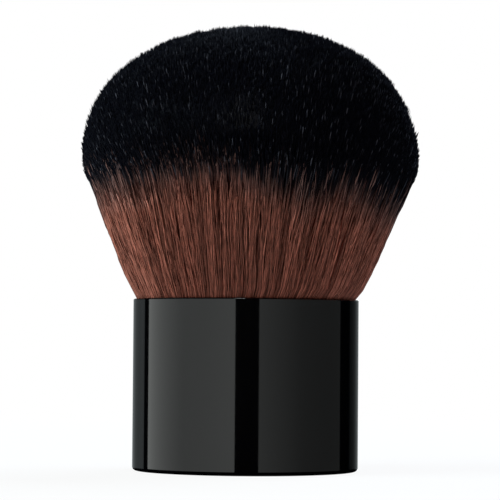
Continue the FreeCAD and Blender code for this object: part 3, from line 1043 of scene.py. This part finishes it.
def make_floor():
    """A wide white floor that keeps a soft shadow."""
    material, tree, surface = new_bare_material("floor")
    diffuse = add_node(tree, "ShaderNodeBsdfDiffuse", Color=FLOOR_COLOUR)
    glow = add_node(tree, "ShaderNodeEmission", Strength=FLOOR_GLOW)
    away = tree.nodes.new("ShaderNodeVectorMath")
    away.operation = "LENGTH"
    tree.links.new(tree.nodes.new("ShaderNodeNewGeometry").outputs["Position"], away.inputs[0])
    far = remap(
        tree, away.outputs["Value"], SHADOW_NEAR, SHADOW_FAR, FLOOR_GLOW_SHARE, 1.0, "SMOOTHSTEP"
    )
    share = maths(tree, "MULTIPLY", background_share(tree), far)
    mixed = tree.nodes.new("ShaderNodeMixShader")
    for socket, value in zip(mixed.inputs, (share, diffuse.outputs[0], glow.outputs[0])):
        tree.links.new(value, socket)
    tree.links.new(mixed.outputs[0], surface)
    rim = np.column_stack((circle(FLOOR_SIDES), np.zeros(FLOOR_SIDES))) * FLOOR_RADIUS
    floor = link_mesh("floor", rim, np.arange(FLOOR_SIDES), np.array([FLOOR_SIDES]), None, material)


def reflected_ray(share):
    """Start and direction, from above, of the camera's ray off the barrel at a share of its radius."""
    angle = math.asin(share)
    normal = np.array((math.sin(angle), -math.cos(angle)))
    start = BARREL_RADIUS * normal
    seen = unit(start - np.array(CAMERA_AT[:2]))
    return start, seen - 2 * (seen @ normal) * normal


def only_in_reflections(thing):
    """The thing shows in reflections and nowhere else."""
    thing.visible_camera = False
    thing.visible_diffuse = False
    thing.visible_transmission = False
    thing.visible_volume_scatter = False
    thing.visible_shadow = False


def card_material(name, tint):
    """Light with the strength that a card's vertices carry."""
    material, tree, surface = new_bare_material(name)
    level = tree.nodes.new("ShaderNodeAttribute")
    level.attribute_name = "glow"
    light = add_node(tree, "ShaderNodeEmission", Color=tint, Strength=level.outputs["Fac"])
    tree.links.new(light.outputs[0], surface)
    return material


def set_glow(thing, glow):
    """Strength at every vertex, and the thing left out of all but reflections."""
    level = thing.data.attributes.new("glow", "FLOAT", "POINT")
    level.data.foreach_set("value", np.asarray(glow, np.float32))
    only_in_reflections(thing)


def make_card(name, stops, material):
    """A sheet that lies on the floor from the barrel outwards and then stands up."""
    shares = np.linspace(stops[0][0], stops[-1][0], CARD_COLUMNS)
    glow = np.interp(shares, *zip(*stops))
    rows = []
    for share in shares:
        start, way = reflected_ray(share)
        near, far = start + way * CARD_START, start + way * CARD_DISTANCE
        rows.append(((*near, CARD_LIFT), (*far, CARD_LIFT), (*far, CARD_HEIGHT)))
    points = len(rows[0])
    loops = []
    for first in range(0, points * (CARD_COLUMNS - 1), points):
        for corner in range(first, first + points - 1):
            loops.extend((corner, corner + points, corner + points + 1, corner + 1))
    card = link_quads(name, np.array(rows).reshape(-1, 3), loops, material)
    set_glow(card, np.repeat(glow, points))


def make_glint(material):
    """The small card of the rim's glint."""
    (left, right), (low, high) = GLINT_X, GLINT_Z
    corners = np.array(((left, low), (right, low), (right, high), (left, high)))
    places = np.column_stack((corners[:, 0], np.full(4, GLINT_Y), corners[:, 1]))
    card = link_quads("card_glint", places, range(4), material)
    set_glow(card, np.full(4, GLINT_GLOW))


def make_flag(material):
    """The dark screen, which leaves the gaps between the cards black."""
    ring = circle(FLAG_SIDES)
    rows = [np.column_stack((ring * radius, np.full(FLAG_SIDES, height))) for radius, height in FLAG_ROWS]
    loops = []
    for low in range(0, FLAG_SIDES * (len(rows) - 1), FLAG_SIDES):
        high = low + FLAG_SIDES
        for step in range(FLAG_SIDES):
            after = (step + 1) % FLAG_SIDES
            loops.extend((low + step, low + after, high + after, high + step))
    flag = link_quads("flag", np.concatenate(rows), loops, material)
    set_glow(flag, np.zeros(len(flag.data.vertices)))


def make_lamp(name, place, size, watts, colour):
    """A square area lamp aimed at the head."""
    lamp = bpy.data.lights.new(name, "AREA")
    lamp.size = size
    lamp.color = colour
    lamp.energy = watts
    thing = bpy.data.objects.new(name, lamp)
    thing.location = place
    aim = Vector(LAMP_AIM) - Vector(place)
    thing.rotation_euler = aim.to_track_quat("-Z", "Y").to_euler()
    bpy.context.scene.collection.objects.link(thing)


def make_studio():
    """Floor, surround, lamps and cards."""
    make_world()
    make_floor()
    front = card_material("card", CARD_TINT)
    side = card_material("side_card", SIDE_TINT)
    make_flag(front)
    make_glint(front)
    for name, stops in FRONT_CARDS.items():
        make_card(name, stops, front)
    for name, stops in SIDE_CARDS.items():
        make_card(name, stops, side)
    for name, lamp in LAMPS.items():
        make_lamp(name, *lamp)


def make_camera():
    """The photo's view."""
    lens = bpy.data.cameras.new("camera")
    lens.lens = LENS
    lens.sensor_width = SENSOR
    lens.clip_start = CLIP_NEAR
    lens.clip_end = CLIP_FAR
    camera = bpy.data.objects.new("camera", lens)
    camera.location = CAMERA_AT
    aim = (Vector(CAMERA_TO) - Vector(CAMERA_AT)).to_track_quat("-Z", "Y")
    camera.rotation_euler = (aim @ Quaternion((0, 0, 1), CAMERA_ROLL)).to_euler()
    bpy.context.scene.collection.objects.link(camera)
    bpy.context.scene.camera = camera


bpy.context.scene.view_settings.view_transform = "Standard"
make_camera()
make_studio()
dress_cad_nodes()
make_head()
